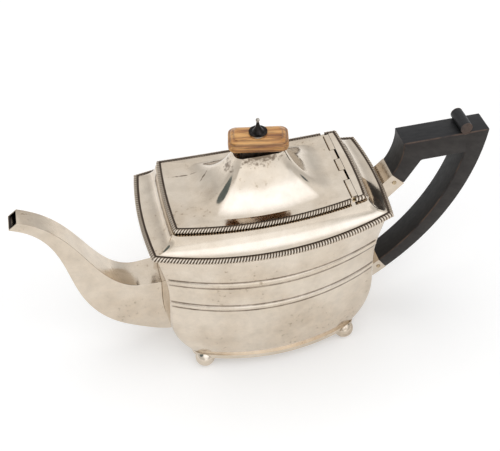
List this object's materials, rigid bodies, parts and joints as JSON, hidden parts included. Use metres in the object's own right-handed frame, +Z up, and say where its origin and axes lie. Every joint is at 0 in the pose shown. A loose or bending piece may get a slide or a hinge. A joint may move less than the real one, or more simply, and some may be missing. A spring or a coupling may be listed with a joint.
{
  "type": "teapot",
  "caption": "Oblong bowed metal teapot with lobed borders, a hinged hipped lid, a flat-sided S spout, a dark wooden handle, a wooden knob and ball feet.",
  "frame": {"origin": "middle of the overall length and width, on the table plane under the feet", "axes": "+X from the spout towards the handle, +Y across the pot, +Z up"},
  "size_m": [0.2794, 0.0954, 0.1608],
  "materials": {
    "silver": "polished, lightly tarnished",
    "spout_silver": "polished, lightly tarnished",
    "border_silver": "cast lobes with dark hollows",
    "hinge_silver": "polished, dark in its joints",
    "cap_silver": "tarnished",
    "pin_silver": "filed flush",
    "fixing_metal": "dull",
    "knob_wood": "waxed, with fine grain",
    "handle_wood": "blackened, matt, worn at its edges"
  },
  "bodies": {
    "pot": {"base_plate": "silver", "base_rim": "silver", "body_shell": "silver", "fixed_knuckle_front": "hinge_silver", "fixed_knuckle_middle": "hinge_silver", "fixed_knuckle_rear": "hinge_silver", "foot_front_left": "silver", "foot_front_right": "silver", "foot_rear_left": "silver", "foot_rear_right": "silver", "handle": "handle_wood", "hinge_border_end": "border_silver", "hinge_border_front": "border_silver", "hinge_border_rear": "border_silver", "hinge_pin": "fixing_metal", "hinge_plate": "silver", "lower_reed_front": "silver", "lower_reed_rear": "silver", "lower_socket": "silver", "lower_socket_pin": "pin_silver", "rim_border_front": "border_silver", "rim_border_left": "border_silver", "rim_border_rear": "border_silver", "rim_border_right": "border_silver", "shoulder": "silver", "spout": "spout_silver", "thumb_piece": "handle_wood", "upper_reed_front": "silver", "upper_reed_rear": "silver", "upper_socket": "silver", "upper_socket_pin": "pin_silver"},
    "lid": {"finial_cap": "cap_silver", "finial_collar": "silver", "finial_knob": "knob_wood", "finial_nut": "fixing_metal", "finial_stud": "fixing_metal", "finial_washer": "fixing_metal", "lid_bezel": "silver", "lid_border_front": "border_silver", "lid_border_left": "border_silver", "lid_border_rear": "border_silver", "lid_cover": "silver", "lid_knuckle_front": "hinge_silver", "lid_knuckle_rear": "hinge_silver"}
  },
  "joints": [
    {"name": "lid_hinge", "type": "hinge", "parent": "pot", "child": "lid", "pos_m": [0.0515, 0, 0.11545], "axis": [0, 1, 0], "range_deg": [0, 95]}
  ]
}
